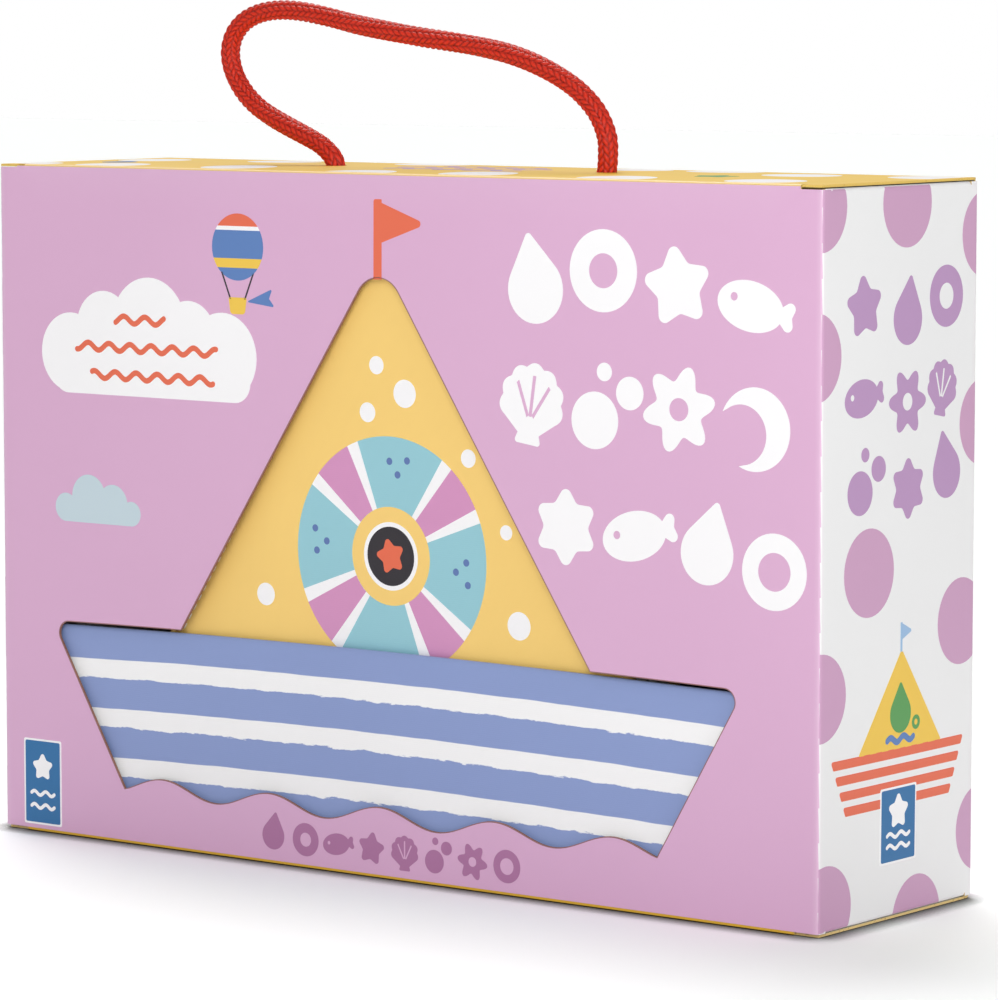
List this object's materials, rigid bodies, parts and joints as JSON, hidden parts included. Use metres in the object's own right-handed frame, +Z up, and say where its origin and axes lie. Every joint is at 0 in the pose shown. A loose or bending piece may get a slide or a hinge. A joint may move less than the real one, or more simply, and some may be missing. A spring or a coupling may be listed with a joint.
{
  "type": "boxed bath book",
  "caption": "Card carry carton with a rope handle and a boat-shaped opening, holding a padded cloth boat and a sail-shaped cloth bath book; the lid and tuck flap open.",
  "frame": {"origin": "middle of the carton's base, on the surface it stands on", "axes": "+X to the right along the carton's width, +Y from the front with the opening to the back, +Z up"},
  "size_m": [0.25, 0.065, 0.211],
  "materials": {
    "carton_board": "printed, satin",
    "lid_board": "printed, satin",
    "rope": "braided, semi-matt",
    "boat_cloth": "smooth knit, matt",
    "gusset_cloth": "smooth knit, matt",
    "foam": "fine-celled foam",
    "sail_cloth": "smooth knit, matt",
    "page_cloth": "smooth knit, matt"
  },
  "bodies": {
    "box": {"carton": "carton_board", "boat_front": "boat_cloth", "boat_back": "boat_cloth", "boat_gusset": "gusset_cloth", "boat_float": "foam", "sail_pocket": "boat_cloth", "book_front_cover": "sail_cloth", "book_pages": "page_cloth", "book_back_cover": "sail_cloth", "book_spine": "sail_cloth"},
    "lid": {"lid_panel": "lid_board", "rope_handle": "rope", "knot_left": "rope", "knot_right": "rope"},
    "tuck": {"tuck_flap": "lid_board"}
  },
  "joints": [
    {"name": "lid_hinge", "type": "hinge", "parent": "box", "child": "lid", "pos_m": [0, 0.0325, 0.16925], "axis": [-1, 0, 0], "range_deg": [0, 120]},
    {"name": "tuck_fold", "type": "hinge", "parent": "lid", "child": "tuck", "pos_m": [0, -0.0305, 0.16925], "axis": [-1, 0, 0], "range_deg": [-48, 0]}
  ],
  "couplings": [
    {"joint": "tuck_fold", "follows": "lid_hinge", "ratio": -0.4}
  ]
}
